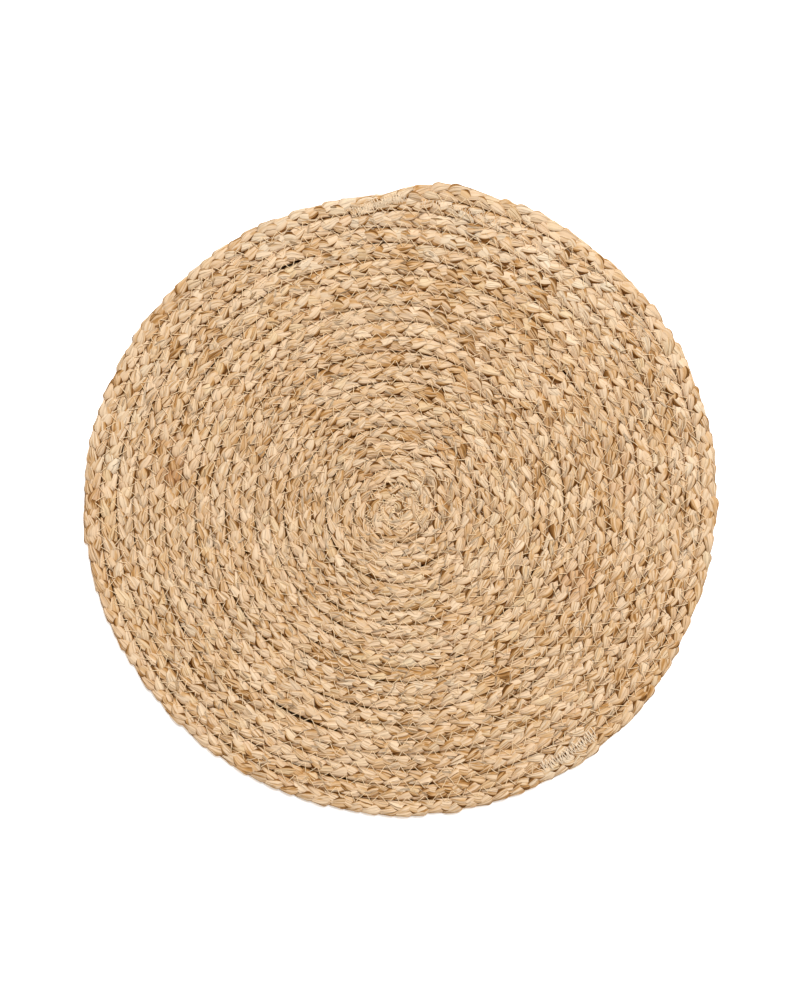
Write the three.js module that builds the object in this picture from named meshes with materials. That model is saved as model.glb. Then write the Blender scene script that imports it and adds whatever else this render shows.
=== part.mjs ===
// Round placemat: one long flat plait of dried leaf strands, wound into a flat spiral and sewn
// turn to turn. The plait is one continuous length, so the mat is one solid. A seam groove spirals
// across its upper face, its underside lies flat, and its outer turn ends in a drawn-in tail.
// Millimetres, +Z up, underside on Z = 0, origin under the middle of the mat's box.
// Seen from above, the plait winds outward anticlockwise, and angles run that way from +X.
import * as THREE from 'three';

const { clamp, degToRad, euclideanModulo, lerp, smoothstep } = THREE.MathUtils;

// Driving dimensions
const COIL_RADIUS = 194; // of the seam spiral where the plait ends, before it is drawn in
const PLAIT_TURNS = 21; // of the plait round the middle of the coil
const PITCH_GROWTH = 1.18; // width of the outermost turn over that of the innermost one
const THICKNESS = 5.5; // of the plait
const GROOVE_DEPTH = 1.4; // of the seam between two turns
const CREST_FROM = 0.28; // share of a turn's width where its flat crest begins
const CREST_TO = 0.72; // share of a turn's width where its flat crest ends
const RIM_ROUND = 1.8; // how far the underside's edge lies inside the rim
const COIL_OFFSET = new THREE.Vector2(-3.2, -5.6); // middle of the coil, from the outline's middle

// How far the outermost seam lies outside a true spiral. The rows are evenly spaced round the mat.
const OUTLINE = [
  { angle: 10, bulge: -1.6 },
  { angle: 40, bulge: -1.6 },
  { angle: 70, bulge: -1.8 },
  { angle: 100, bulge: 1.0 },
  { angle: 130, bulge: 2.7 },
  { angle: 160, bulge: 4.0 },
  { angle: 190, bulge: 4.9 },
  { angle: 220, bulge: 1.8 },
  { angle: 250, bulge: 0.1 },
  { angle: 280, bulge: 0.1 },
  { angle: 310, bulge: 0.4 },
  { angle: 340, bulge: -2.9 },
];
const BULGE_FADE = 3; // power by which the bulges die out towards the middle

// How much of its width the plait keeps along its tail
const TAIL = [
  { angle: 80, share: 1 },
  { angle: 92, share: 0.4 },
  { angle: 104, share: 0.12 },
];

// Fineness
const STATIONS = 60; // sections in each turn

// Values worked out from the dimensions
const SEAM_TURNS = PLAIT_TURNS + 1; // from the start of the plait's inner edge to the end of its outer one
const START_ANGLE = TAIL.at(-1).angle; // the plait makes whole turns, so it starts and ends at one angle
const FIRST_PITCH = (2 * COIL_RADIUS) / (SEAM_TURNS * (1 + PITCH_GROWTH));
const PITCH_GAIN = (FIRST_PITCH * (PITCH_GROWTH - 1)) / (2 * SEAM_TURNS);
const GROOVE_HEIGHT = THICKNESS - GROOVE_DEPTH;
const RIM_HEIGHT = THICKNESS / 2;
const LAST_SECTION = PLAIT_TURNS * STATIONS;

/** Bulge of the outline at an angle in degrees, eased from row to row of OUTLINE. */
function bulgeAt(angle) {
  const spacing = 360 / OUTLINE.length;
  const place = euclideanModulo(angle - OUTLINE[0].angle, 360) / spacing;
  const row = Math.floor(place);
  const next = (row + 1) % OUTLINE.length;
  return lerp(OUTLINE[row].bulge, OUTLINE[next].bulge, smoothstep(place - row, 0, 1));
}

/** Share of its width that the plait keeps at a number of turns from its start. */
function tailShare(turn) {
  const angle = START_ANGLE - 360 * (PLAIT_TURNS - turn);
  const next = clamp(TAIL.findIndex((row) => row.angle >= angle), 1, TAIL.length - 1);
  const from = TAIL[next - 1];
  const to = TAIL[next];
  return lerp(from.share, to.share, smoothstep(angle, from.angle, to.angle));
}

/** Plan point of the seam spiral. Its radius grows with the turns, faster and faster, and bulges. */
function seamPoint(turn) {
  const angle = START_ANGLE + 360 * turn;
  const outwards = turn / SEAM_TURNS;
  const radius = FIRST_PITCH * turn + PITCH_GAIN * turn ** 2 + bulgeAt(angle) * outwards ** BULGE_FADE;
  const middle = COIL_OFFSET.clone().multiplyScalar(1 - outwards);
  return new THREE.Vector2(radius, 0).rotateAround(new THREE.Vector2(), degToRad(angle)).add(middle);
}

/** Plan point across the plait at one section, from its inner edge at 0 to its outer edge at 1. */
function plaitPoint(section, across) {
  const turn = section / STATIONS;
  return seamPoint(turn).lerp(seamPoint(turn + 1), across * tailShare(turn));
}

/** The coiled plait as one closed surface: ridged top, rounded rim, flat underside and both ends. */
function coiledPlait() {
  const vertices = [];
  const triangles = [];
  const addPoint = (plan, height) => vertices.push(plan.x, plan.y, height) / 3 - 1;
  const addFan = (first, ...others) => {
    for (let i = 1; i < others.length; i++) triangles.push(first, others[i - 1], others[i]);
  };

  // Seam points, shared by the turns on both sides, and past the last section the points of the rim
  const seams = [];
  for (let section = 0; section < LAST_SECTION; section++) {
    seams.push(addPoint(plaitPoint(section, 0), GROOVE_HEIGHT));
  }
  for (let section = LAST_SECTION - STATIONS; section <= LAST_SECTION; section++) {
    seams.push(addPoint(plaitPoint(section, 1), RIM_HEIGHT));
  }

  // Sections across the plait, from the inner seam over the crest to the outer one
  const sections = [];
  for (let section = 0; section <= LAST_SECTION; section++) {
    const crestFrom = addPoint(plaitPoint(section, CREST_FROM), THICKNESS);
    const crestTo = addPoint(plaitPoint(section, CREST_TO), THICKNESS);
    sections.push([seams[section], crestFrom, crestTo, seams[section + STATIONS]]);
  }

  // Upper face, and the dimple that the first turn closes in the middle
  for (let section = 0; section < LAST_SECTION; section++) {
    const here = sections[section];
    const next = sections[section + 1];
    for (let k = 1; k < here.length; k++) addFan(here[k - 1], here[k], next[k], next[k - 1]);
  }
  addFan(...seams.slice(0, STATIONS + 1));

  // Rim and underside
  const rim = seams.slice(LAST_SECTION);
  const edge = rim.map((point) => {
    const plan = new THREE.Vector2(vertices[3 * point], vertices[3 * point + 1]);
    return plan.setLength(plan.length() - RIM_ROUND);
  });
  const foot = edge.map((plan) => addPoint(plan, 0));
  for (let i = 1; i < rim.length; i++) addFan(rim[i], rim[i - 1], foot[i - 1], foot[i]);
  for (const [a, b, c] of THREE.ShapeUtils.triangulateShape(edge, [])) addFan(foot[c], foot[b], foot[a]);

  // The two cut ends of the plait
  const [inner, ...others] = sections[0];
  addFan(inner, ...others.reverse());
  addFan(...sections[LAST_SECTION], foot.at(-1), foot[0]);

  const geometry = new THREE.BufferGeometry();
  geometry.setAttribute('position', new THREE.Float32BufferAttribute(vertices, 3));
  geometry.setIndex(triangles);
  geometry.computeBoundingBox();
  const { min, max } = geometry.boundingBox;
  geometry.translate(-(min.x + max.x) / 2, -(min.y + max.y) / 2, 0);
  geometry.computeVertexNormals();
  return geometry;
}

const leaf = new THREE.MeshStandardMaterial({ color: 0xd3b188, roughness: 0.8, metalness: 0 });
const plait = new THREE.Mesh(coiledPlait(), leaf);
plait.name = 'coiled_plait';

const placemat = new THREE.Group();
placemat.add(plait);

export default placemat;
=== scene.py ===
"""Looks of a round placemat: one long plait of dried leaf strands, coiled flat and sewn turn to turn.

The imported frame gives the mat's size and place. Plans and sizes here are in millimetres, in the mat's
own frame, and meshes are filled in metres. The plan of the coil repeats the part's own seam spiral.
Angles run anticlockwise from +X, seen from above, and turns are counted from the start of the coil.
"""

from __future__ import annotations

import logging
import math
from dataclasses import dataclass, field, replace
from enum import Enum

import bpy
import numpy as np
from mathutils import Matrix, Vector

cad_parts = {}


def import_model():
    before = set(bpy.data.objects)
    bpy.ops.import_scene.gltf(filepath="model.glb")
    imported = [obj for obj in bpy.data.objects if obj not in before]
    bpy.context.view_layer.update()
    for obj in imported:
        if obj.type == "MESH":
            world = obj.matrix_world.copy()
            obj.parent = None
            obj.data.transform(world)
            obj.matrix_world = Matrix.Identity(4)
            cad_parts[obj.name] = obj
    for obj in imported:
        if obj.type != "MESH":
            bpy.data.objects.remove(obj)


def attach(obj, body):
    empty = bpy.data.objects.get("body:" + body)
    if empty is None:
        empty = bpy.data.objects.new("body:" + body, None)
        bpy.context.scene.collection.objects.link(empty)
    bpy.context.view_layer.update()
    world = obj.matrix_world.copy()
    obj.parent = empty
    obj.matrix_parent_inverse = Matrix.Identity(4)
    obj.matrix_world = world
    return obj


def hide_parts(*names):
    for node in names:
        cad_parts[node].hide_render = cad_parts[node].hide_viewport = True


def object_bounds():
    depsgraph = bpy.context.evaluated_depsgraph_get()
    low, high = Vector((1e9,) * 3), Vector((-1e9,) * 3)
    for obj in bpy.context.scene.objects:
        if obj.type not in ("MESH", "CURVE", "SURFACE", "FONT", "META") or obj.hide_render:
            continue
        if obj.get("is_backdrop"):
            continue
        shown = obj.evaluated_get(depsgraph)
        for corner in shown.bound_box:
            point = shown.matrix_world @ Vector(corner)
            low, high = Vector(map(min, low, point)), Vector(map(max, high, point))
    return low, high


LOG = logging.getLogger("placemat")
Array = np.ndarray
Colour = tuple[float, float, float]
MM = 0.001
UP = np.array([0.0, 0.0, 1.0])
FRAME_NODE = "coiled_plait"
BODY = "root"

# The map of a strand's length and girth, and the values of its points that the finishes read
STRAND_MAP = "strand"
# A strand's tone also carries its painted shade
TONE = "tone"
GREY = "grey"
RUST = "rust"

# Points of a fine line, on which places at even distances are found
FINE_POINTS = 40000


class Side(Enum):
    """The face of the mat that a thing lies on, with the sign of its outward direction."""

    UPPER = 1.0
    UNDER = -1.0


class Line(Enum):
    """What a stretch of sewing follows: the seam between two turns, or the middle of the plait."""

    SEAM = "seam"
    PLAIT = "plait"


class Slot(Enum):
    """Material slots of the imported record."""

    LEAF = "leaf_plait"
    THREAD = "sewing_thread"


def ease(share: Array) -> Array:
    """Smooth step of a share: flat at 0 and 1, steepest between.

    Args:
        share: values, cut to 0 to 1.

    Returns:
        3 s^2 - 2 s^3 of each.
    """
    cut = np.clip(share, 0.0, 1.0)
    return cut * cut * (3.0 - 2.0 * cut)


def blend(start: Array, end: Array, share: Array) -> Array:
    """Linear mix of two arrays, start + (end - start) * share."""
    return start + (end - start) * share


@dataclass(frozen=True)
class Drift:
    """A smooth random drift along a line: the distance between its knots, and its largest size."""

    spacing: float
    size: float


def wander(rng: np.random.Generator, along: Array, drift: Drift) -> Array:
    """Smooth random drift: random heights at even knots, eased from one knot to the next.

    Args:
        rng: source of the knots.
        along: places, from 0.
        drift: spacing of the knots, in the unit of along, and largest height either way.

    Returns:
        The drift at each place.
    """
    knots = rng.uniform(-drift.size, drift.size, int(along.max() / drift.spacing) + 3)
    place = along / drift.spacing
    knot = place.astype(int)
    return blend(knots[knot], knots[knot + 1], ease(place - knot))


def unit(vectors: Array) -> Array:
    """Vectors scaled to length 1."""
    return vectors / np.linalg.norm(vectors, axis=-1, keepdims=True)


def lift(plan: Array, height: Array) -> Array:
    """Plan points with a height added as their third coordinate."""
    return np.concatenate([plan, np.broadcast_to(height, plan.shape[:-1])[..., None]], -1)


def right_of(plan: Array) -> Array:
    """Plan vectors turned a quarter turn clockwise."""
    return np.stack([plan[..., 1], -plan[..., 0]], -1)


def lengths(points: Array) -> Array:
    """Distances of points from the first one of their line, along that line."""
    steps = np.linalg.norm(np.diff(points, axis=-2), axis=-1)
    return np.concatenate([np.zeros_like(steps[..., :1]), np.cumsum(steps, -1)], -1)


def read_rows(place: Array, places: Array, table: Array) -> Array:
    """Rows of a table at places between its own, with each column straight from row to row.

    Args:
        place: where to read.
        places: places of the table's rows, rising.
        table: values by row and column.

    Returns:
        Values by place and column.
    """
    return np.stack([np.interp(place, places, column) for column in table.T], -1)


@dataclass(frozen=True)
class Bulge:
    """How far the outermost seam lies outside a true spiral at an angle."""

    angle: float
    out: float


@dataclass(frozen=True)
class Taper:
    """Share of its width that the plait keeps at an angle along its tail."""

    angle: float
    share: float


@dataclass(frozen=True)
class Gap:
    """A place where two turns part: the seam's turn, how far it reaches along and how wide it opens."""

    turn: float
    reach: float
    width: float


@dataclass
class Rows:
    """The plait's middle line at some turns: plan points, widths, and unit plan vectors.

    The vectors along point the way the plait winds and the vectors out point away from the coil.
    """

    middle: Array
    width: Array
    along: Array
    out: Array


@dataclass(frozen=True)
class Coil:
    """Plan of the coiled plait: a seam spiral whose pitch grows outwards, with a drawn-in tail."""

    end_radius: float = 194.0
    turns: int = 21
    pitch_growth: float = 1.18
    offset: tuple[float, float] = (-3.2, -5.6)
    bulge_fade: float = 3.0
    bulges: tuple[Bulge, ...] = (
        Bulge(10, -1.6),
        Bulge(40, -1.6),
        Bulge(70, -1.8),
        Bulge(100, 1.0),
        Bulge(130, 2.7),
        Bulge(160, 4.0),
        Bulge(190, 4.9),
        Bulge(220, 1.8),
        Bulge(250, 0.1),
        Bulge(280, 0.1),
        Bulge(310, 0.4),
        Bulge(340, -2.9),
    )
    tail: tuple[Taper, ...] = (Taper(80, 1.0), Taper(92, 0.4), Taper(104, 0.12))
    tail_length: float = 0.078
    tail_end: tuple[float, float] = (-29.6, 170.4)
    tail_heading: float = 200.0
    tail_pull: float = 98.0
    tail_step: float = 0.001
    gaps: tuple[Gap, ...] = (Gap(18.03, 9.0, 1.5), Gap(16.39, 18.0, 1.1))
    gap_fade: float = 1.4
    fit: float = 0.996
    rim_points: int = 720
    middle: tuple[float, float] = (0.0, 0.0)

    @property
    def start_angle(self) -> float:
        """Angle at which the plait starts and, after whole turns, ends."""
        return self.tail[-1].angle

    def bulge(self, angle: Array) -> Array:
        """Bulge of the outline, eased between its evenly spaced rows.

        Args:
            angle: angles in degrees.

        Returns:
            How far the outermost seam lies outside a true spiral at each.
        """
        out = np.array([row.out for row in self.bulges])
        place = (angle - self.bulges[0].angle) % 360.0 * len(out) / 360.0
        row = place.astype(int) % len(out)
        return blend(out[row], out[(row + 1) % len(out)], ease(place - np.floor(place)))

    def tail_share(self, turn: Array) -> Array:
        """Share of its width that the plait keeps, eased from row to row along the tail.

        Args:
            turn: turns from the start of the coil.

        Returns:
            The share at each turn.
        """
        angle = self.start_angle - 360.0 * (self.turns - turn)
        share = np.full(angle.shape, self.tail[0].share)
        for start, end in zip(self.tail, self.tail[1:]):
            share += (end.share - start.share) * ease((angle - start.angle) / (end.angle - start.angle))
        return share

    def seam(self, turn: Array) -> Array:
        """Plan points of the seam spiral.

        The radius is pitch * turn plus a gain with its square, plus the bulges, which die out inwards.
        The spiral's middle drifts from the coil's to the outline's.

        Args:
            turn: turns from the start of the coil.

        Returns:
            Points, one row for each turn.
        """
        seam_turns = self.turns + 1
        pitch = 2.0 * self.end_radius / (seam_turns * (1.0 + self.pitch_growth))
        gain = pitch * (self.pitch_growth - 1.0) / (2.0 * seam_turns)
        angle = self.start_angle + 360.0 * turn
        outwards = turn / seam_turns
        bulge = self.bulge(angle) * np.clip(outwards, 0.0, 1.0) ** self.bulge_fade
        radius = pitch * turn + gain * turn**2 + bulge
        spoke = np.stack([np.cos(np.radians(angle)), np.sin(np.radians(angle))], -1)
        drift = np.outer(1.0 - outwards, self.offset)
        return (radius[:, None] * spoke + drift) * self.fit - np.array(self.middle)

    def drawn(self, turn: Array) -> Array:
        """How far along its drawn-in tail the plait is, from 0 before the tail to 1 at the end."""
        return np.clip((turn - self.turns) / self.tail_length + 1.0, 0.0, 1.0)

    def _between_seams(self, turn: Array) -> tuple[Array, Array]:
        """Plan points half-way between the plait's two seams.

        Args:
            turn: turns of the inner seam.

        Returns:
            The points, and the distances between the two seams.
        """
        inner = self.seam(turn)
        across = self.seam(turn + 1.0) - inner
        return inner + 0.5 * across, np.linalg.norm(across, axis=1)

    def _tail(self, share: Array) -> Array:
        """Middle line of the tail: a cubic that leaves the coil along its run and ends over the next turn.

        Args:
            share: shares of the way along the tail.

        Returns:
            Plan points, one row for each share.
        """
        turn = self.turns - self.tail_length + np.array([0.0, self.tail_step])
        (start, ahead), _ = self._between_seams(turn)
        heading = math.radians(self.tail_heading)
        leave = self.tail_pull * unit(ahead - start)
        arrive = self.tail_pull * np.array([math.cos(heading), math.sin(heading)])
        q = share[:, None]
        moved = blend(start, np.array(self.tail_end), ease(q))
        return moved + leave * (q * (1.0 - q) ** 2) - arrive * (q**2 * (1.0 - q))

    def rows(self, turn: Array) -> Rows:
        """The plait's middle line between its inner and its outer seam, opened at the gaps.

        Args:
            turn: turns, rising and close together.

        Returns:
            Middle points, widths and directions.
        """
        middle, width = self._between_seams(turn)
        share = self.drawn(turn)
        middle = np.where(share[:, None] > 0.0, self._tail(share), middle)
        along = unit(np.gradient(middle, axis=0))
        out = right_of(along)
        for gap in self.gaps:
            centre = self.seam(np.array([gap.turn]))
            offset = turn + 0.5 - gap.turn
            nearness = np.exp(-((np.linalg.norm(middle - centre, axis=1) / gap.reach) ** 2))
            fade = np.exp(-np.abs(offset) / self.gap_fade)
            middle = middle + out * (np.sign(offset) * nearness * fade * gap.width)[:, None]
        return Rows(middle, width, along, out)

    def centred(self, low: Vector, high: Vector) -> Coil:
        """This coil moved so that its outline's box is centred on the frame's box.

        Args:
            low: lowest corner of the frame's box, in metres.
            high: its highest corner.

        Returns:
            The moved coil.
        """
        turn = np.linspace(self.turns - 1.0, self.turns, self.rim_points)
        inner = self.seam(turn)
        rim = inner + (self.seam(turn + 1.0) - inner) * self.tail_share(turn)[:, None]
        box = (rim.min(0) + rim.max(0)) / 2.0
        frame_middle = np.array((low + high)[:2]) / 2.0 / MM
        moved = tuple(np.array(self.middle) + box - frame_middle)
        return replace(self, middle=moved)


def add_tubes(
    name: str,
    rings: Array,
    lengthwise: Array,
    values: dict[str, Array],
    crisp: tuple[int, ...] = (),
) -> bpy.types.Object:
    """Joined closed tubes: a skin over each tube's rings, and one face over each end.

    Args:
        name: name of the new object.
        rings: points in millimetres, by tube, ring, place round the ring and axis. Seen against the way
            that the tube runs, a ring goes anticlockwise.
        lengthwise: place along the tube of each ring, by tube and ring, for the strand map.
        values: attributes of the points, each by tube, ring and place, or fit to be spread so.
        crisp: places round the ring whose lengthwise edges are sharp.

    Returns:
        The object, at the origin.
    """
    tubes, stations, points = rings.shape[:3]
    index = np.arange(tubes * stations * points).reshape(tubes, stations, points)
    here, ahead = index[:, :-1], index[:, 1:]
    quads = np.stack([here, np.roll(here, -1, 2), np.roll(ahead, -1, 2), ahead], -1).reshape(-1, 4)
    caps = np.concatenate([index[:, 0, ::-1], index[:, -1]])
    corners = np.concatenate([quads.ravel(), caps.ravel()]).astype(np.int32)
    sizes = np.concatenate([np.full(len(quads), 4), np.full(len(caps), points)]).astype(np.int32)

    mesh = bpy.data.meshes.new(name)
    mesh.vertices.add(index.size)
    mesh.vertices.foreach_set("co", (rings * MM).astype(np.float32).ravel())
    mesh.loops.add(len(corners))
    mesh.loops.foreach_set("vertex_index", corners)
    mesh.polygons.add(len(sizes))
    mesh.polygons.foreach_set("loop_start", (np.cumsum(sizes) - sizes).astype(np.int32))
    mesh.polygons.foreach_set("loop_total", sizes)

    around = np.stack([np.arange(points), np.arange(1, points + 1)], -1) / points
    corner_around = around[:, [0, 1, 1, 0]]
    length_here, length_ahead = lengthwise[:, :-1, None], lengthwise[:, 1:, None]
    corner_length = np.stack([length_here, length_here, length_ahead, length_ahead], -1)
    shape = (tubes, stations - 1, points, 4)
    sides = np.stack([np.broadcast_to(corner_length, shape), np.broadcast_to(corner_around, shape)], -1)
    ends = np.concatenate([lengthwise[:, 0], lengthwise[:, -1]])
    end_corners = np.stack(np.broadcast_arrays(ends[:, None], np.full((1, points), 0.5)), -1)
    strand_map = mesh.uv_layers.new(name=STRAND_MAP)
    corner_places = np.concatenate([sides.reshape(-1, 2), end_corners.reshape(-1, 2)])
    strand_map.uv.foreach_set("vector", corner_places.astype(np.float32).ravel())
    for key, value in values.items():
        attribute = mesh.attributes.new(key, "FLOAT", "POINT")
        spread = np.broadcast_to(value, (tubes, stations, points))
        attribute.data.foreach_set("value", spread.astype(np.float32).ravel())
    mesh.update(calc_edges=True)
    mesh.validate()
    mesh.shade_smooth()
    edge_ends = np.empty(2 * len(mesh.edges), np.int32)
    mesh.edges.foreach_get("vertices", edge_ends)
    column = edge_ends.reshape(-1, 2) % points
    sharp = (column[:, 0] == column[:, 1]) & np.isin(column[:, 0], crisp)
    mesh.attributes.new("sharp_edge", "BOOLEAN", "EDGE").data.foreach_set("value", sharp)
    piece = bpy.data.objects.new(name, mesh)
    bpy.context.scene.collection.objects.link(piece)
    return piece


def put_on_mat(piece: bpy.types.Object, material: bpy.types.Material) -> None:
    """Dresses a piece, and lets it ride on the mat's body and stand for the frame's solid.

    Args:
        piece: the piece.
        material: its finish.
    """
    piece.data.materials.append(material)
    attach(piece, BODY)
    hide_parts(FRAME_NODE)
    LOG.info("%s: %d faces", piece.name, len(piece.data.polygons))


class Value:
    """A number's socket in a node tree. Arithmetic on it adds Math nodes."""

    def __init__(self, graph: Graph, socket: bpy.types.NodeSocket) -> None:
        """Wraps one socket of a graph."""
        self.graph = graph
        self.socket = socket

    def _math(self, operation: str, *operands: Value | float) -> Value:
        """A Math node on the operands, in order."""
        node = self.graph.node("ShaderNodeMath", {"operation": operation}, dict(enumerate(operands)))
        return Value(self.graph, node.outputs[0])

    def __add__(self, other: Value | float) -> Value:
        """Sum."""
        return self._math("ADD", self, other)

    def __radd__(self, other: float) -> Value:
        """Sum with a number in front."""
        return self._math("ADD", other, self)

    def __sub__(self, other: Value | float) -> Value:
        """Difference."""
        return self._math("SUBTRACT", self, other)

    def __rsub__(self, other: float) -> Value:
        """Difference from a number."""
        return self._math("SUBTRACT", other, self)

    def __mul__(self, other: Value | float) -> Value:
        """Product."""
        return self._math("MULTIPLY", self, other)

    def __rmul__(self, other: float) -> Value:
        """Product with a number in front."""
        return self._math("MULTIPLY", other, self)

    def __pow__(self, power: float) -> Value:
        """Power."""
        return self._math("POWER", self, power)

    def cosine(self) -> Value:
        """Cosine of an angle in radians."""
        return self._math("COSINE", self)

    def sine(self) -> Value:
        """Sine of an angle in radians."""
        return self._math("SINE", self)

    def cut(self, low: float, high: float) -> Value:
        """How far the value is on the way from low to high, eased.

        Args:
            low: where the share is 0.
            high: where it is 1.

        Returns:
            The share, cut to 0 to 1.
        """
        settings = {"interpolation_type": "SMOOTHSTEP", "clamp": True}
        sockets = {"Value": self, "From Min": low, "From Max": high}
        node = self.graph.node("ShaderNodeMapRange", settings, sockets)
        return Value(self.graph, node.outputs["Result"])


@dataclass(frozen=True)
class Stop:
    """A colour of a ramp and its place, from 0 to 1."""

    place: float
    colour: Colour


class Graph:
    """A material's node tree with one principled surface."""

    NOISE_ROUGHNESS = 0.55

    def __init__(self, name: str) -> None:
        """Starts a material with a principled surface and nothing else."""
        self.material = bpy.data.materials.new(name)
        self.material.use_nodes = True
        self.tree = self.material.node_tree
        self.surface = self.tree.nodes["Principled BSDF"]

    def node(self, kind: str, settings: dict, sockets: dict) -> bpy.types.Node:
        """Adds a node.

        Args:
            kind: the node's type.
            settings: its properties, set first. A ramp's stops are given as "stops".
            sockets: values, wrapped values or output sockets, by the input's name or number.

        Returns:
            The node.
        """
        node = self.tree.nodes.new(kind)
        for key, setting in settings.items():
            if key == "stops":
                self._set_stops(node.color_ramp, setting)
            else:
                setattr(node, key, setting)
        for key, value in sockets.items():
            self.feed(node.inputs[key], value)
        return node

    @staticmethod
    def _set_stops(ramp: bpy.types.ColorRamp, stops: tuple[Stop, ...]) -> None:
        """Gives a ramp its stops.

        Args:
            ramp: a new ramp.
            stops: its stops, in order.
        """
        while len(ramp.elements) < len(stops):
            ramp.elements.new(0.5)
        for element, stop in zip(ramp.elements, stops):
            element.position = stop.place
            element.color = (*stop.colour, 1.0)

    def feed(self, socket: bpy.types.NodeSocket, value: object) -> None:
        """Links a socket to an output, or sets it.

        Args:
            socket: the input socket.
            value: a wrapped value or an output to link, or a plain number, vector or colour to set.
        """
        source = value.socket if isinstance(value, Value) else value
        if isinstance(source, bpy.types.NodeSocket):
            self.tree.links.new(source, socket)
        elif socket.type == "RGBA":
            socket.default_value = (*source, 1.0)
        else:
            socket.default_value = source

    def value(self, node: bpy.types.Node, output: str | int = 0) -> Value:
        """An output of a node as a wrapped value."""
        return Value(self, node.outputs[output])

    def attribute(self, name: str) -> Value:
        """A number that the mesh's points hold."""
        return self.value(self.node("ShaderNodeAttribute", {"attribute_name": name}, {}), "Fac")

    def noise(self, place: bpy.types.NodeSocket, detail: float) -> Value:
        """Noise from 0 to 1 at a place."""
        sockets = {"Vector": place, "Scale": 1.0, "Detail": detail, "Roughness": self.NOISE_ROUGHNESS}
        return self.value(self.node("ShaderNodeTexNoise", {}, sockets), "Fac")

    def place(self, x: object, y: object, z: object) -> bpy.types.NodeSocket:
        """A vector of three values."""
        return self.node("ShaderNodeCombineXYZ", {}, {0: x, 1: y, 2: z}).outputs[0]

    def mixed(self, share: object, first: object, second: object) -> bpy.types.NodeSocket:
        """A mix of two colours by a share of the second."""
        node = self.node("ShaderNodeMix", {"data_type": "RGBA"}, {0: share, 6: first, 7: second})
        return node.outputs[2]

    def ramp(self, share: Value, stops: tuple[Stop, ...]) -> bpy.types.NodeSocket:
        """The colour at a share of the way along a ramp."""
        return self.node("ShaderNodeValToRGB", {"stops": stops}, {0: share}).outputs[0]

    def bump(self, height: Value, distance: float, strength: float) -> bpy.types.NodeSocket:
        """The normal of a surface that is raised by a height times a distance in metres."""
        sockets = {"Height": height, "Distance": distance, "Strength": strength}
        return self.node("ShaderNodeBump", {}, sockets).outputs[0]

    def finish(self, **sockets: object) -> bpy.types.Material:
        """Feeds the surface's sockets, named with underscores for spaces, and returns the material."""
        for key, value in sockets.items():
            self.feed(self.surface.inputs[key.replace("_", " ")], value)
        return self.material


@dataclass(frozen=True)
class Marks:
    """Marks on a strand: their usual width and length in millimetres, their detail, and what they do.

    Tone is how much they change the strand's tone, and height how far they stand up. A shift keeps them
    apart from other marks.
    """

    width: float
    length: float
    detail: float
    tone: float = 0.0
    height: float = 0.0
    shift: float = 0.0


@dataclass(frozen=True)
class Tint:
    """A colour that some leaves take: the values at which it starts and is full, and its share there."""

    colour: Colour
    start: float
    full: float
    share: float


class StrandMap:
    """A strand's own map in a graph: millimetres along the strand, and the share of the way round it."""

    def __init__(self, graph: Graph) -> None:
        """Reads the map in a graph."""
        mapped = graph.node("ShaderNodeUVMap", {"uv_map": STRAND_MAP}, {})
        parts = graph.node("ShaderNodeSeparateXYZ", {}, {0: mapped.outputs[0]})
        self.graph = graph
        self.along = graph.value(parts, 0)
        self.around = graph.value(parts, 1)

    def noise(self, marks: Marks, girth: float) -> Value:
        """Noise that closes round the strand.

        It is read on a circle that is as many marks round as the strand is, moved on along the strand.

        Args:
            marks: size and detail of the marks.
            girth: length of the way round the strand, in millimetres.

        Returns:
            The noise, from 0 to 1.
        """
        angle = self.around * math.tau
        radius = girth / math.tau / marks.width
        along = self.along * (1.0 / marks.length) + marks.shift
        place = self.graph.place(angle.cosine() * radius, angle.sine() * radius, along)
        return self.graph.noise(place, marks.detail)

    def strip(self, start: float, end: float, edge: float) -> Value:
        """1 between two shares of the way round and 0 elsewhere, with soft edges inside them."""
        return self.around.cut(start, start + edge) - self.around.cut(end - edge, end)


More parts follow.
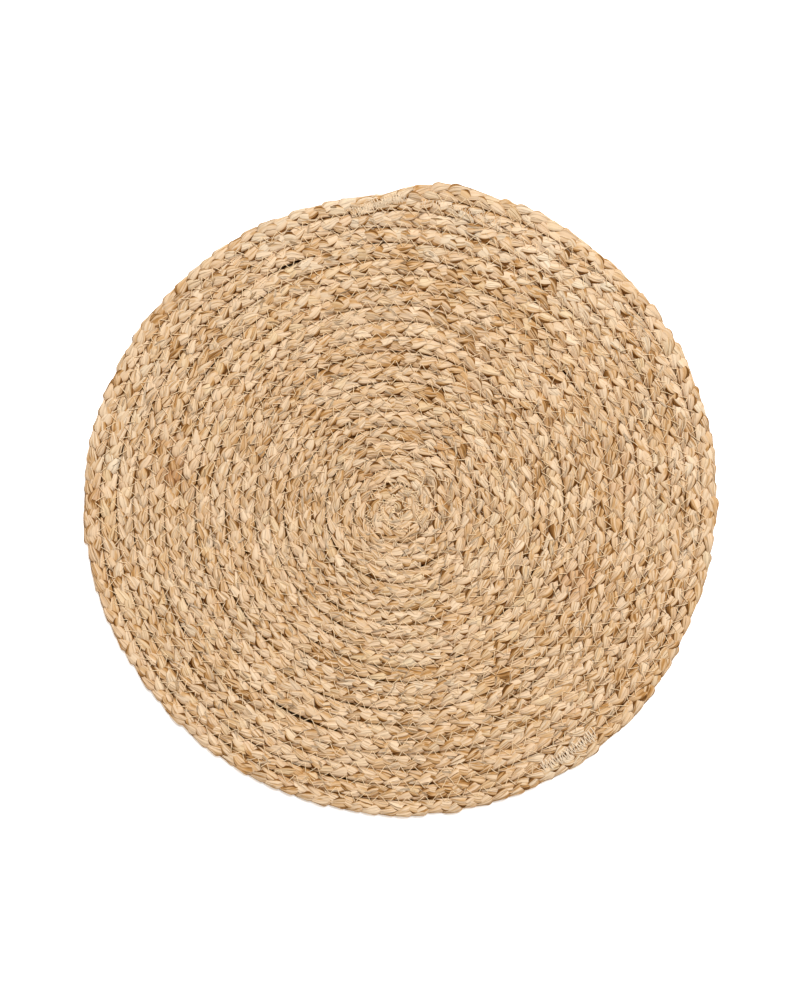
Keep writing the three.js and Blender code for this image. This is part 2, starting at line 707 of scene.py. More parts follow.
@dataclass(frozen=True)
class LeafFinish:
    """Dry leaf: straw tones that change from leaf to leaf, streaked and ribbed along the fibres."""

    name: str = "dry_leaf"
    girth: float = 12.0
    tones: tuple[Stop, ...] = (
        Stop(0.0, (0.20, 0.086, 0.023)),
        Stop(0.18, (0.49, 0.249, 0.084)),
        Stop(0.34, (0.67, 0.421, 0.213)),
        Stop(0.54, (0.76, 0.535, 0.335)),
        Stop(0.76, (0.862, 0.645, 0.432)),
        Stop(1.0, (0.905, 0.720, 0.522)),
    )
    grey: Tint = Tint((0.80, 0.66, 0.48), 0.1, 1.1, 0.85)
    olive: Tint = Tint((0.76, 0.56, 0.26), 0.08, 0.8, 0.42)
    rust: Tint = Tint((0.57, 0.285, 0.13), 0.15, 1.2, 0.28)
    rust_streak: float = 0.55
    light_from: float = 0.2
    light_to: float = 0.55
    streak: Marks = Marks(0.7, 12.0, 3.0, tone=0.60, height=0.65)
    rib: Marks = Marks(1.5, 34.0, 1.0, tone=0.38, height=0.75)
    blotch: Marks = Marks(1.91, 6.25, 2.0, tone=0.22)
    # Crease lines: grooves in the bump, with painted shade along them
    crease: Marks = Marks(2.3, 20.0, 1.0, tone=0.26, height=0.3, shift=7.0)
    crease_width: float = 0.055
    spot: Marks = Marks(0.868, 20.0 / 11.0, 2.0)
    spot_from: float = 0.68
    spot_to: float = 0.80
    spot_share: float = 0.55
    under_from: float = 0.8
    under_to: float = 0.9
    under_edge: float = 0.015
    under_lift: float = 0.56
    roughness: float = 0.66
    roughness_streak: float = 0.3

    def material(self) -> bpy.types.Material:
        """The finish as a material.

        The level of a point is its tone, which holds painted shade, changed by the marks, with painted
        shade along the creases, and paler on the strand's under face. It gives a colour on the ramp of
        tones.
        Light leaves take some grey or olive, and spots and rusty leaves some rust.

        Returns:
            The material.
        """
        graph = Graph(self.name)
        strand = StrandMap(graph)
        streak = strand.noise(self.streak, self.girth)
        rib = strand.noise(self.rib, self.girth)
        blotch = strand.noise(self.blotch, self.girth)
        spot = strand.noise(self.spot, self.girth)
        crease = (strand.noise(self.crease, self.girth) - 0.5) ** 2.0
        crease = crease.cut(0.0, self.crease_width**2)
        level = graph.attribute(TONE)
        for noise, marks in ((streak, self.streak), (rib, self.rib), (blotch, self.blotch)):
            level = level + (noise - 0.5) * marks.tone
        # Painted shade along the crease lines, which are also grooves in the bump
        level = level + (crease - 1.0) * self.crease.tone
        level = level + strand.strip(self.under_from, self.under_to, self.under_edge) * self.under_lift
        colour = graph.ramp(level, self.tones)

        light = level.cut(self.light_from, self.light_to)
        rust = graph.attribute(RUST)
        for tint, value in ((self.grey, graph.attribute(GREY)), (self.olive, 0.0 - rust)):
            share = value.cut(tint.start, tint.full) * light * tint.share
            colour = graph.mixed(share, colour, tint.colour)
        spotted = spot.cut(self.spot_from, self.spot_to) * self.spot_share
        rusted = rust.cut(self.rust.start, self.rust.full) * (self.rust.share + self.rust_streak * streak)
        colour = graph.mixed(spotted + rusted, colour, self.rust.colour)

        relief = rib * self.rib.height + streak * self.streak.height + crease * self.crease.height
        return graph.finish(
            Base_Color=colour,
            Roughness=self.roughness + (streak - 0.5) * self.roughness_streak,
            Normal=graph.bump(relief, MM, 1.0),
            Specular_IOR_Level=0.0,
        )


@dataclass(frozen=True)
class ThreadFinish:
    """Pale spun thread: a slight twist along it, and a tone that changes from stretch to stretch."""

    name: str = "spun_thread"
    light: Colour = (0.98, 0.76, 0.49)
    dark: Colour = (0.85, 0.61, 0.35)
    bleached: Colour = (0.78, 0.63, 0.47)
    plies: float = 2.0
    twist_length: float = 0.9
    twist_tone: float = 0.35
    twist_height: float = 0.06
    twist_strength: float = 0.6
    stretch_rate: float = 0.05
    stretch_spread: float = 9.0
    stretch_from: float = 0.45
    stretch_to: float = 0.75
    stretch_tone: float = 0.5
    roughness: float = 0.75
    roughness_twist: float = 0.1

    def material(self) -> bpy.types.Material:
        """The finish as a material.

        The twist is a sine of the length along the thread plus the way round it. It and noise along the
        thread mix the light colour with the dark one, and bleached thread has a colour of its own.

        Returns:
            The material.
        """
        graph = Graph(self.name)
        strand = StrandMap(graph)
        phase = (strand.along * (1.0 / self.twist_length) + strand.around * self.plies) * math.tau
        twist = phase.sine() * 0.5 + 0.5
        own_place = graph.attribute(TONE) * self.stretch_spread
        stretch = graph.noise(graph.place(strand.along * self.stretch_rate, own_place, 0.0), 1.0)
        dark = twist * self.twist_tone + stretch.cut(self.stretch_from, self.stretch_to) * self.stretch_tone
        colour = graph.mixed(dark, self.light, self.dark)
        return graph.finish(
            Base_Color=graph.mixed(graph.attribute(GREY), colour, self.bleached),
            Roughness=self.roughness + twist * self.roughness_twist,
            Normal=graph.bump(twist, self.twist_height * MM, self.twist_strength),
            Specular_IOR_Level=0.0,
        )


@dataclass
class Heights:
    """Height of the plait's upper or under face on a plan grid, made from points of its strands."""

    side: Side
    half: float = 200.0
    cell: float = 0.6
    empty: float = 0.0
    grid: Array = field(init=False)

    def __post_init__(self) -> None:
        """Starts with nothing on the grid."""
        count = int(2 * self.half / self.cell) + 1
        self.grid = np.full((count, count), -np.inf)

    def _cells(self, plan: Array) -> tuple[Array, Array]:
        """Grid rows and columns of plan points."""
        cells = np.clip(np.round((plan + self.half) / self.cell).astype(int), 0, len(self.grid) - 1)
        return cells[..., 0], cells[..., 1]

    def lay(self, points: Array) -> None:
        """Raises the grid to these points where they stand further out than what is there."""
        np.maximum.at(self.grid, self._cells(points[..., :2]), points[..., 2] * self.side.value)

    def close(self) -> None:
        """Spreads each cell's height to its neighbours, so that the face has no pinholes."""
        grid = self.grid
        for axis in (0, 1):
            grid = np.maximum(grid, np.maximum(np.roll(grid, 1, axis), np.roll(grid, -1, axis)))
        self.grid = np.where(np.isfinite(grid), grid, self.empty)

    def at(self, plan: Array) -> Array:
        """Heights at plan points, positive outwards from the mat."""
        return self.grid[self._cells(plan)]


@dataclass(frozen=True)
class Patch:
    """A place on the mat where the leaves are paler, darker, greyer or rustier than elsewhere."""

    x: float
    y: float
    reach: float
    tone: float = 0.0
    grey: float = 0.0
    rust: float = 0.0


@dataclass(frozen=True)
class Pass:
    """Where a strand is, at a share of its way from one edge of the plait to the other.

    Its border is on the side of the edge it leaves up to the middle, and then on the other side. The
    border and its half width are shares of the plait's width, from the middle outwards. Its height is a
    share of its rise.
    """

    share: float
    border: float
    half_width: float
    height: float


@dataclass(frozen=True)
class Ply:
    """A point of a strand's section: its place in half widths and half thicknesses, and its look.

    Dark is how much darker the leaf is there: painted shade at its margins, on the low sides of its folds
    and on its under face. A fold raises or lowers its points, and it differs in place and depth from leaf
    to leaf. Crisp points are creases, with no smooth shading across them.
    """

    across: float
    through: float
    # painted shade at this point of the section
    dark: float
    fold: float = 0.0
    crisp: bool = False


@dataclass(frozen=True)
class Unevenness:
    """How much the leaves differ. A leaf is a strand from one edge of the plait to the other.

    The plain numbers are the largest change from leaf to leaf, either way, and the drifts run on along
    the plait. Row shifts, swerves, strays, lifts and the rim are in millimetres, tilts in radians, and
    the rest are shares.
    """

    crossing: Drift = Drift(90.0, 0.10)
    row_shift: Drift = Drift(60.0, 0.24)
    row_lift: Drift = Drift(45.0, 0.2)
    timing: float = 0.07
    width: float = 0.2
    width_drift: Drift = Drift(24.0, 0.06)
    swerve: float = 0.14
    stray: float = 0.08
    stray_drift: Drift = Drift(13.0, 0.08)
    lift: float = 0.28
    lift_drift: Drift = Drift(11.0, 0.12)
    tilt: float = 0.19
    tilt_drift: Drift = Drift(9.0, 0.12)
    thickness: float = 0.16
    fold_spread: float = 0.4
    fold_shift: float = 0.26
    fold_shift_drift: Drift = Drift(12.0, 0.08)
    fold_depth: float = 0.75
    rim: float = 0.85


@dataclass(frozen=True)
class Colouring:
    """How the leaves are coloured: their usual tone, how much they differ, and where painted shade darkens
    them.

    The drifts run on along a strand, about as far as one strip of leaf lasts. The deeper a point lies,
    the darker its painted shade, but less so on the bare outer side of the last turn and in the middle of
    the coil.
    """

    tone: float = 0.645
    tone_by_leaf: float = 0.10
    tone_lively: float = 0.35
    tone_drift: Drift = Drift(170.0, 0.07)
    grey_by_leaf: float = 0.3
    grey_drift: Drift = Drift(289.0, 0.4)
    rust_by_leaf: float = 0.28
    rust_drift: Drift = Drift(221.0, 0.3)
    # Painted shade in the crevices between leaves and turns, by how low a point lies
    deep_from: float = 3.15
    deep_reach: float = 1.3
    deep_painted_shade: float = 0.42
    bare_from: float = 0.2
    bare_reach: float = 0.2
    bare_lighter: float = 0.45
    middle_lighter: float = 0.1
    patch_share: float = 0.54
    patches: tuple[Patch, ...] = (
        Patch(29.0, 34.1, 11.0, tone=-0.30, rust=0.2),
        Patch(121.1, 52.6, 11.0, tone=-0.28),
        Patch(131.9, 10.2, 12.0, tone=-0.22, rust=0.5),
        Patch(106.7, -47.8, 12.0, tone=-0.22, rust=0.6),
        Patch(120.5, 26.9, 10.0, tone=-0.20),
        Patch(60.1, 120.8, 12.0, tone=-0.22),
        Patch(26.6, 121.0, 14.0, tone=-0.24),
        Patch(-136.0, 14.8, 8.0, tone=-0.15, rust=1.0),
        Patch(-136.5, 30.5, 9.0, tone=-0.05, rust=0.5),
        Patch(80.4, 95.7, 11.0, tone=-0.20),
        Patch(-105.5, -103.5, 12.0, tone=-0.18),
        Patch(55.3, -103.5, 12.0, tone=-0.17),
        Patch(-46.3, 50.2, 11.0, tone=-0.17),
        Patch(75.0, -89.7, 11.0, tone=-0.16),
        Patch(-168.9, 50.0, 13.0, tone=0.18, grey=0.7),
        Patch(90.0, 145.0, 13.0, tone=0.18, grey=0.7),
        Patch(46.9, -41.9, 11.0, tone=0.16),
        Patch(-173.0, 25.0, 11.0, tone=0.14, grey=0.8),
        Patch(-148.6, -29.9, 11.0, tone=0.15),
        Patch(11.7, 103.5, 11.0, tone=0.16),
        Patch(-25.4, 106.4, 11.0, tone=0.15),
        Patch(174.0, 25.0, 14.0, tone=0.15, grey=0.7),
        Patch(-3.3, -70.0, 11.0, tone=0.14),
        Patch(-148.6, 90.0, 14.0, tone=0.13),
        Patch(-78.0, 152.0, 16.0, tone=0.12, grey=0.6),
        Patch(40.0, 173.0, 18.0, tone=0.10, grey=0.9),
        Patch(-14.0, 176.0, 15.0, tone=0.0, grey=1.2),
        Patch(115.0, 126.0, 12.0, tone=0.08, grey=0.7),
        Patch(12.9, 19.1, 10.0, tone=0.10, grey=0.5),
        Patch(101.0, -150.0, 15.0, tone=0.10, grey=0.8),
        Patch(-116.9, -132.8, 16.0, tone=0.08, rust=0.15),
    )


@dataclass
class Chance:
    """Random changes along one strand, drawn in the order in which they are asked for."""

    seed: int
    phase: Array
    distance: Array
    change_from: float = 0.58
    change_reach: float = 0.12
    rng: np.random.Generator = field(init=False)

    def __post_init__(self) -> None:
        """Starts the source of the changes."""
        self.rng = np.random.default_rng(self.seed)

    def by_leaf(self, size: float) -> Array:
        """A random value for each leaf.

        Args:
            size: largest value either way.

        Returns:
            The value at each station, eased from leaf to leaf where the strand lies under the others.
        """
        place = self.phase / math.pi - 0.5
        place = place - np.floor(place.min())
        leaf = place.astype(int)
        values = self.rng.uniform(-size, size, leaf.max() + 2)
        change = ease((place - leaf - self.change_from) / self.change_reach)
        return blend(values[leaf], values[leaf + 1], change)

    def along(self, drift: Drift) -> Array:
        """A smooth drift along the strand."""
        return wander(self.rng, self.distance, drift)


@dataclass
class Course:
    """A strand's run along the plait, by station.

    Width is the plait's own, and the phase is a quarter turn at its outer edge. Start is 0 at the plait's
    first end, where middle is 1 and then fades over a few turns. Tail is 1 at its last end, and rim and
    outermost are 1 in the last turn. Lively is 0 on the mat's neat side and 1 on the other. Wild
    multiplies the changes from leaf to leaf.
    """

    distance: Array
    rows: Rows
    width: Array
    phase: Array
    row_shift: Array
    row_lift: Array
    start: Array
    tail: Array
    middle: Array
    rim: Array
    outermost: Array
    lively: Array
    wild: Array


@dataclass
class Plait:
    """The three strands of the plait, each a flat folded tube that weaves over and under the others."""

    coil: Coil
    uneven: Unevenness = Unevenness()
    colouring: Colouring = Colouring()
    stations: int = 9950
    strands: int = 3
    crossing: float = 29.4
    snug: float = 1.03
    neat_angle: float = 195.0
    neat_narrower: float = 0.022
    unruly: float = 0.55
    rise: float = 2.8
    outward: float = 0.22
    half_thickness: float = 1.2
    bottom: float = 0.85
    bed: float = 0.27
    passes: tuple[Pass, ...] = (
        Pass(0.0, 0.505, 0.25, 0.90),
        Pass(0.1, 0.505, 0.31, 0.98),
        Pass(0.2, 0.505, 0.355, 1.0),
        Pass(0.3, 0.485, 0.365, 1.0),
        Pass(0.4, 0.40, 0.33, 0.90),
        Pass(0.5, 0.26, 0.26, 0.60),
        Pass(0.5, -0.26, 0.26, 0.60),
        Pass(0.6, -0.38, 0.26, 0.15),
        Pass(0.7, -0.55, 0.29, 0.0),
        Pass(0.8, -0.53, 0.19, 0.35),
        Pass(0.9, -0.51, 0.20, 0.70),
        Pass(1.0, -0.505, 0.25, 0.90),
    )
    # The third column is painted shade: at the leaf's margins, on the low sides of its folds and on its
    # under face
    section: tuple[Ply, ...] = (
        Ply(1.0, 0.0, 0.74, crisp=True),
        Ply(0.85, 0.73, 0.2),
        Ply(0.36, 0.92, 0.0, fold=0.06, crisp=True),
        Ply(0.29, 0.95, 0.17, fold=-0.24, crisp=True),
        Ply(-0.27, 0.95, 0.0, fold=0.06, crisp=True),
        Ply(-0.34, 0.93, 0.17, fold=-0.24, crisp=True),
        Ply(-0.85, 0.71, 0.2),
        Ply(-1.0, 0.0, 0.74, crisp=True),
        Ply(-1.16, -1.3, 0.3),
        Ply(1.16, -1.3, 0.3),
    )
    folded: float = 0.55
    deepest_fold: float = 1.3
    fold_reach: float = 0.7
    start_turn: float = -0.5
    start_reach: float = 0.35
    start_width: float = 0.6
    start_thickness: float = 0.7
    start_dip: float = 0.8
    wild_start: float = 1.8
    wild_reach: float = 3.2
    middle_reach: float = 2.6
    middle_wider: float = 0.14
    rim_from: float = 1.2
    rim_reach: float = 0.4
    rim_stray: float = 0.8
    last_from: float = 1.06
    last_reach: float = 0.06
    scallop: float = 0.5
    scallop_rate: float = 1.35
    scallop_shift: float = 0.2
    scallop_fade: int = 4
    rim_inset: float = 0.35
    tail_from: float = 0.4
    tail_reach: float = 0.35
    tail_places: tuple[float, ...] = (0.0, 0.5, 0.62, 0.8, 1.0)
    tail_widths: tuple[float, ...] = (1.0, 0.95, 0.88, 0.8, 0.45)
    tail_thinner: float = 0.5
    tail_lift: float = 2.2
    seed: int = 7
    shared_seed: int = 107
    rim_seed: int = 207
    nothing_under: float = -6.0
    laid_along: tuple[float, ...] = (0.0, 0.5)
    laid_round: tuple[float, ...] = (0.0, 0.25, 0.5, 0.75)
    upper: Heights = field(init=False)
    under: Heights = field(init=False)

    def __post_init__(self) -> None:
        """Prepares the height maps of both faces."""
        self.upper = Heights(Side.UPPER)
        self.under = Heights(Side.UNDER, empty=self.nothing_under)

    def lengthwise(self) -> tuple[Array, Array]:
        """Evenly spaced stations along the plait.

        Returns:
            Their turns, and their distances along the plait's middle line.
        """
        fine = np.linspace(self.start_turn, self.coil.turns, FINE_POINTS)
        distance = lengths(self.coil.rows(fine).middle)
        even = np.linspace(0.0, distance[-1], self.stations)
        return np.interp(even, distance, fine), even

    def course(self, number: int) -> Course:
        """The run of one strand. Strands are a third of a crossing apart.

        Args:
            number: 0, 1 or 2.

        Returns:
            The run, by station.
        """
        shared = np.random.default_rng(self.shared_seed)
        turn, distance = self.lengthwise()
        rows = self.coil.rows(turn)
        drawn = self.coil.drawn(turn)
        begun = turn - self.start_turn
        left = turn - self.coil.turns
        start = ease(begun / self.start_reach)
        middle = 1.0 - ease(begun / self.middle_reach)
        facing = np.cos(math.tau * turn + math.radians(self.coil.start_angle - self.neat_angle))
        lively = (1.0 - facing) / 2.0
        width = (self.snug - self.neat_narrower * facing) * rows.width * blend(self.start_width, 1.0, start)
        width = width * (1.0 + self.middle_wider * middle)
        width = width * np.interp(drawn, self.tail_places, self.tail_widths)
        speed = math.tau / (self.crossing * (1.0 + wander(shared, distance, self.uneven.crossing)))
        return Course(
            distance=distance,
            rows=rows,
            width=width,
            phase=np.cumsum(speed * np.gradient(distance)) + math.tau * number / self.strands,
            row_shift=wander(shared, distance, self.uneven.row_shift),
            row_lift=wander(shared, distance, self.uneven.row_lift),
            start=start,
            tail=ease((drawn - self.tail_from) / self.tail_reach),
            middle=middle,
            rim=ease((left + self.rim_from) / self.rim_reach),
            outermost=ease((left + self.last_from) / self.last_reach),
            lively=lively,
            wild=1.0 + self.wild_start * (1.0 - ease(begun / self.wild_reach)) + self.unruly * lively,
        )

    def ragged_rim(self, course: Course, number: int) -> Array:
        """How far a strand stands out at the mat's rim.

        Each leaf dips before it turns back at the rim and swells after it. It stands out by a random
        length of its own, less an inset that keeps the mat's size.

        Args:
            course: the strand's run.
            number: the strand's number.

        Returns:
            The length at each station, 0 on the inner turns and towards the plait's inner edge.
        """
        chance = Chance(self.rim_seed + number, course.phase, course.distance)
        from_edge = (course.phase + math.pi / 2.0) % math.tau - math.pi
        near_edge = np.exp(-((from_edge / (math.pi / 2.0)) ** self.scallop_fade))
        scallop = self.scallop * np.sin(self.scallop_rate * (from_edge + self.scallop_shift))
        length = near_edge * (scallop + chance.by_leaf(self.uneven.rim) - self.rim_inset)
        return course.outermost * (1.0 - course.tail) * length

    def path(self, number: int, course: Course, chance: Chance) -> tuple[Array, Array]:
        """Middle line of a strand.

        It runs from edge to edge of the plait by the rows of a pass, first to one side and then to the
        other. It lies on top from an edge to the middle, where it dips under the strand that comes from
        the other edge.

        Args:
            number: the strand's number.
            course: its run.
            chance: its changes.

        Returns:
            Points by station, and half widths of the strand.
        """
        uneven = self.uneven
        place = course.phase / math.pi - 0.5
        side = np.where(np.floor(place) % 2.0 < 0.5, 1.0, -1.0)
        share = place % 1.0
        share = share + chance.by_leaf(uneven.timing) * np.sin(math.pi * share)
        table = np.array([[row.share, row.border, row.half_width, row.height] for row in self.passes])
        border, half_width, level = read_rows(share, table[:, 0], table[:, 1:]).T
        half_width = half_width * (1.0 + chance.by_leaf(uneven.width) + chance.along(uneven.width_drift))
        across = side * (border - np.sign(border) * half_width)
        swerve = course.wild * chance.by_leaf(uneven.swerve) * np.cos(2.0 * course.phase)
        stray = course.wild * chance.by_leaf(uneven.stray) + swerve + course.row_shift
        stray = stray + chance.along(uneven.stray_drift)
        offset = across * course.width + stray * blend(1.0, self.rim_stray, course.rim)
        offset = offset + self.ragged_rim(course, number)
        height = self.rise * level + self.half_thickness * self.bottom
        height = height + course.row_lift + course.wild * chance.by_leaf(uneven.lift)
        height = height + chance.along(uneven.lift_drift)
        height = height + self.tail_lift * course.tail - self.start_dip * (1.0 - course.start)
        plan = course.rows.middle + course.rows.out * offset[:, None]
        return lift(plan, height), half_width * course.width

    def skin(self, course: Course, chance: Chance, path: Array, half_width: Array) -> tuple[Array, Array]:
        """A strand's folded section, carried along its path and facing a little outwards at the edges.

        Args:
            course: the strand's run.
            chance: its changes.
            path: its middle line.
            half_width: its half widths.

        Returns:
            Points by station and place round the section, and how much painted shade darkens each.
        """
        uneven = self.uneven
        tilt = self.outward * np.sin(course.phase)
        tilt = tilt + course.wild * chance.by_leaf(uneven.tilt) + chance.along(uneven.tilt_drift)
        forward = unit(np.gradient(path, axis=0))
        out = lift(course.rows.out, 0.0)
        flat = -np.cos(tilt)[:, None] * out + np.sin(tilt)[:, None] * UP
        flat = unit(flat - (flat * forward).sum(1)[:, None] * forward)
        upward = np.cross(forward, flat)

        thinner = 1.0 - self.tail_thinner * course.tail
        half_thickness = self.half_thickness * blend(self.start_thickness, 1.0, course.start) * thinner
        half_thickness = half_thickness * (1.0 + chance.by_leaf(uneven.thickness))
        spread = 1.0 + chance.by_leaf(uneven.fold_spread)
        shift = chance.by_leaf(uneven.fold_shift) + chance.along(uneven.fold_shift_drift)
        depth = self.folded + chance.by_leaf(uneven.fold_depth)
        depth = np.clip(depth, 0.0, self.deepest_fold)[:, None]
        columns = [[ply.across, ply.through, ply.dark, ply.fold] for ply in self.section]
        across, through, dark, fold = np.array(columns).T
        moved = np.clip(across * spread[:, None] + shift[:, None], -self.fold_reach, self.fold_reach)
        across = np.where(fold, moved, across)
        rings = (
            path[:, None]
            + flat[:, None] * (half_width[:, None] * across)[..., None]
            + upward[:, None] * (half_thickness[:, None] * (through + depth * fold))[..., None]
        )
        rings[..., 2] = np.maximum(rings[..., 2], self.bed)
        # Painted shade by place in the section, deeper on deeper folds
        return rings, dark * np.where(fold, depth, 1.0)

    def tints(self, course: Course, chance: Chance, path: Array) -> tuple[Array, Array, Array]:
        """Tone, grey and rust of a strand, by leaf, by strip and by patch of the mat.

        Args:
            course: the strand's run.
            chance: its changes.
            path: its middle line.

        Returns:
            The three values by station.
        """
        look = self.colouring
        tone = look.tone + chance.by_leaf(look.tone_by_leaf) * (1.0 + look.tone_lively * course.lively)
        tone = tone + chance.along(look.tone_drift)
        grey = chance.along(look.grey_drift) + chance.by_leaf(look.grey_by_leaf)
        rust = chance.along(look.rust_drift) + chance.by_leaf(look.rust_by_leaf)
        for patch in look.patches:
            away = (path[:, :2] - np.array([patch.x, patch.y])) / patch.reach
            near = np.exp(-(away**2).sum(1))
            tone = tone + look.patch_share * patch.tone * near
            grey = grey + look.patch_share * patch.grey * near
            rust = rust + patch.rust * near
        return tone, grey, rust

    def shade(self, course: Course, rings: Array, dark: Array) -> Array:
        """How much painted shade darkens the points of a strand's skin, by their place in the section and
        depth.

        Args:
            course: the strand's run.
            rings: the skin.
            dark: how much darker each point is by its place in the section.

        Returns:
            The loss of tone of each point, all of it painted shade.
        """
        look = self.colouring
        # Painted shade in the crevices: the lower a point, the darker, with less of it on the bare rim and
        # in the coil's middle
        deep = np.clip((look.deep_from - rings[..., 2]) / look.deep_reach, 0.0, 1.0)
        from_middle = rings[..., :2] - course.rows.middle[:, None]
        outward = (from_middle * course.rows.out[:, None]).sum(-1) / course.width[:, None]
        bare = ease((outward - look.bare_from) / look.bare_reach) * course.outermost[:, None]
        lighter = np.maximum(look.bare_lighter * bare, look.middle_lighter * course.middle[:, None])
        return (dark + look.deep_painted_shade * deep) * (1.0 - lighter)

    def strand(self, number: int) -> bpy.types.Object:
        """One strand, which is also put on the height maps.

        Args:
            number: 0, 1 or 2.

        Returns:
            The strand's object.
        """
        course = self.course(number)
        chance = Chance(self.seed + number, course.phase, course.distance)
        path, half_width = self.path(number, course, chance)
        rings, dark = self.skin(course, chance, path, half_width)
        self._lay(rings)
        tone, grey, rust = self.tints(course, chance, path)
        # The tone of each point loses its painted shade here
        tone = tone[:, None] - self.shade(course, rings, dark)
        values = {TONE: tone[None], GREY: grey[None, :, None], RUST: rust[None, :, None]}
        crisp = tuple(index for index, ply in enumerate(self.section) if ply.crisp)
        return add_tubes(f"plait_strand_{number + 1}", rings[None], course.distance[None], values, crisp)

    def _lay(self, rings: Array) -> None:
        """Puts a strand's skin on the height maps, with points between its stations and sides.

        Args:
            rings: the skin.
        """
        for share in self.laid_along:
            between = blend(rings[:-1], rings[1:], share)
            for step in self.laid_round:
                points = blend(between, np.roll(between, -1, 1), step)
                self.upper.lay(points)
                self.under.lay(points)

    def build(self, material: bpy.types.Material) -> list[bpy.types.Object]:
        """Makes and dresses the strands and closes the height maps.

        Args:
            material: the strands' finish.

        Returns:
            The strands.
        """
        pieces = [self.strand(number) for number in range(self.strands)]
        for piece in pieces:
            put_on_mat(piece, material)
        self.upper.close()
        self.under.close()
        return pieces


@dataclass(frozen=True)
class Run:
    """A stretch of zigzag sewing from one turn to another.

    Step is the length between needle points along its line, reach how far they lie to its sides, thread
    the thread's radius, and pale how bleached it is. Stations and sides are those of each leg's tube.
    """

    name: str
    first_turn: float
    last_turn: float
    step: float
    reach: float
    side: Side = Side.UPPER
    line: Line = Line.SEAM
    stations: int = 7
    sides: int = 5
    seed: int = 1
    thread: float = 0.23
    pale: float = 0.0


